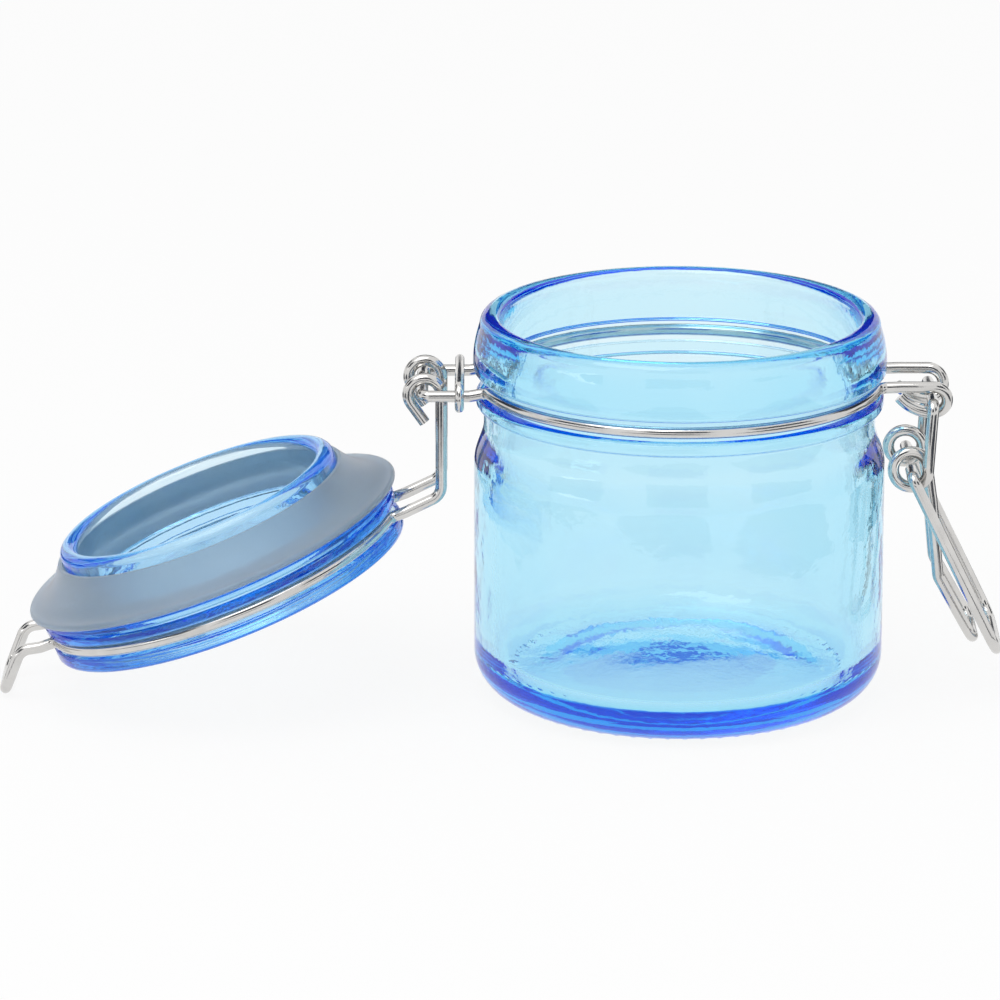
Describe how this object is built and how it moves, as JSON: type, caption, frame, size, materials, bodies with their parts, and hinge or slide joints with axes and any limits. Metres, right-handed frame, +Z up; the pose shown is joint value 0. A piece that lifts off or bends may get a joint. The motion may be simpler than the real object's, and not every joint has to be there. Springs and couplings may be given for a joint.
{
  "type": "clip-top storage jar",
  "caption": "Small round blue glass jar with a hinged glass lid, silicone gasket, and wire lever latch; lid open, resting on its nose wire.",
  "frame": {"origin": "on the surface that the jar stands on, at the middle of the open object's footprint box; the jar's own axis stands at X = 0.0341", "axes": "+Z up along the jar's axis, +X from the hinge and the open lid towards the latch, XZ is the plane of symmetry"},
  "size_m": [0.1911, 0.0782, 0.074],
  "materials": {
    "jar_glass": "clear light blue pressed glass",
    "lid_glass": "clear light blue pressed glass",
    "silicone": "translucent frosted silicone",
    "steel_wire": "bright drawn steel wire"
  },
  "bodies": {
    "jar": {"glass_jar": "jar_glass", "collar_wire": "steel_wire", "tie_ring": "steel_wire"},
    "lid": {"glass_lid": "lid_glass", "gasket": "silicone", "lid_wire": "steel_wire"},
    "lever": {"latch_lever": "steel_wire"},
    "bail": {"latch_bail": "steel_wire"}
  },
  "joints": [
    {"name": "lid_hinge", "type": "hinge", "parent": "jar", "child": "lid", "pos_m": [-0.0146, 0, 0.0603], "axis": [0, 1, 0], "range_deg": [0, 200.8]},
    {"name": "lever_pivot", "type": "hinge", "parent": "jar", "child": "lever", "pos_m": [0.0816, 0, 0.05845], "axis": [0, -1, 0], "range_deg": [0, 150]},
    {"name": "bail_pivot", "type": "hinge", "parent": "lever", "child": "bail", "pos_m": [0.07775, 0, 0.04498], "axis": [0, -1, 0], "range_deg": [-26, 160]}
  ]
}
